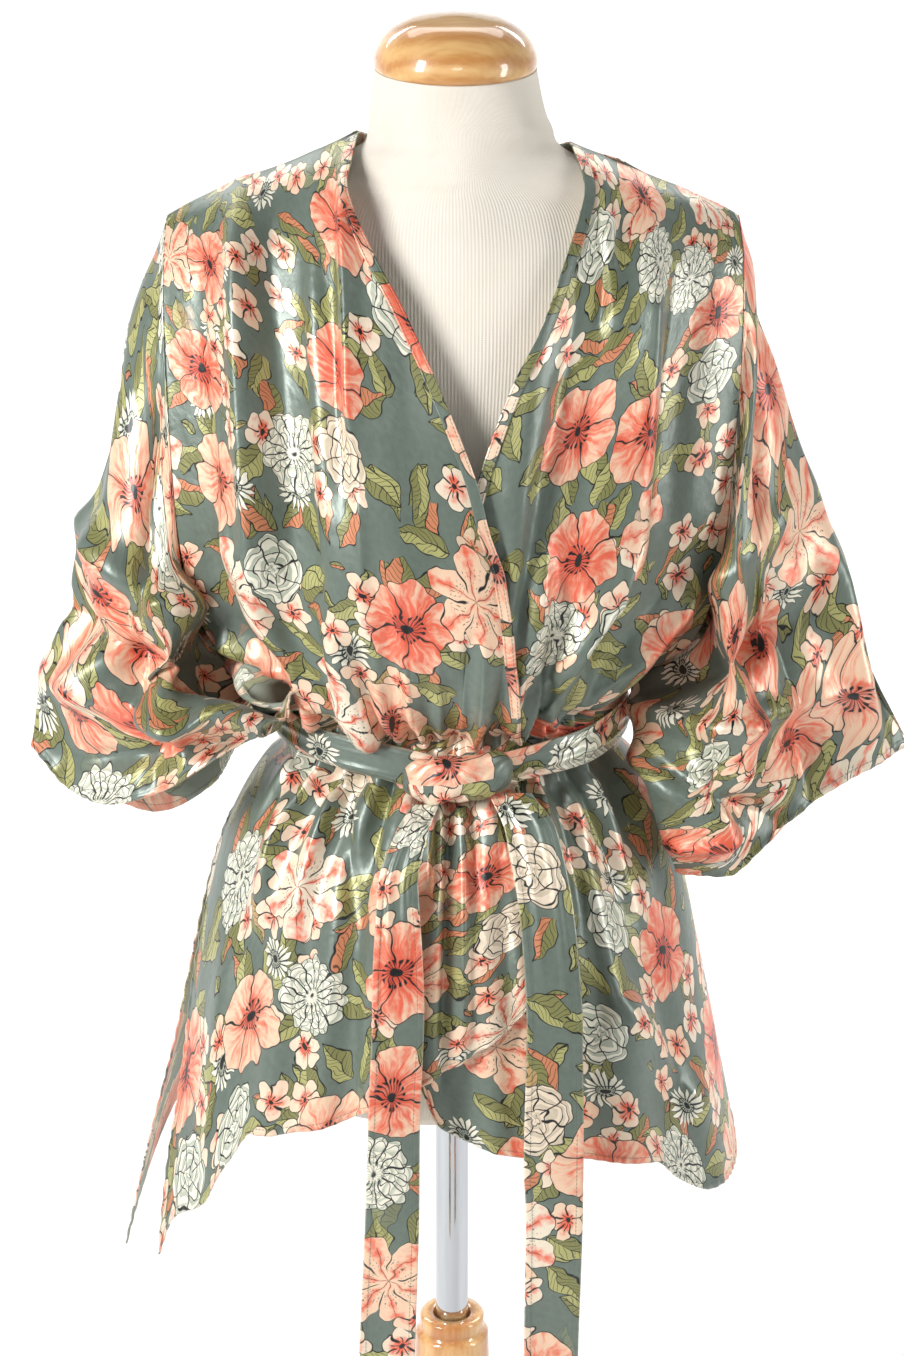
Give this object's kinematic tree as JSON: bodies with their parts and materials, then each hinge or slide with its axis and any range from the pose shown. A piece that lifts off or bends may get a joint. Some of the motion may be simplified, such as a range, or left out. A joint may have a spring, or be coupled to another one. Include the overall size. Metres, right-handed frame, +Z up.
{
  "type": "kimono robe on a dress form",
  "caption": "Short floral satin kimono robe with wide open sleeves, wrapped and tied with its own belt, on a limbless dress form with a turned wooden stand.",
  "frame": {"origin": "centre of the flat underside of the stand's round foot, on the pole's axis", "axes": "+Z up along the pole, -Y towards the front of the robe, +X towards the wearer's left"},
  "size_m": [0.6542, 0.3559, 1.4631],
  "materials": {
    "satin": "satin weave with a floral print",
    "belt_satin": "satin weave with a floral print",
    "jersey": "matte ribbed jersey",
    "wood": "clear gloss varnish",
    "steel": "polished"
  },
  "bodies": {
    "stand": {"stand_foot": "wood", "stand_column": "wood"},
    "mast": {"pole": "steel"},
    "form": {"torso": "jersey", "neck_cap": "wood", "front_right": "satin", "front_left": "satin", "back": "satin", "sleeve_right": "satin", "sleeve_left": "satin", "neck_band": "satin", "belt_wrap": "belt_satin", "belt_knot": "belt_satin", "belt_tail_right": "belt_satin", "belt_tail_left": "belt_satin"}
  },
  "joints": [
    {"name": "height", "type": "slide", "parent": "stand", "child": "mast", "axis": [0, 0, 1], "range_m": [-0.1, 0.18]},
    {"name": "turn", "type": "hinge", "parent": "mast", "child": "form", "pos_m": [0, 0, 0.683], "axis": [0, 0, 1], "continuous": true}
  ]
}
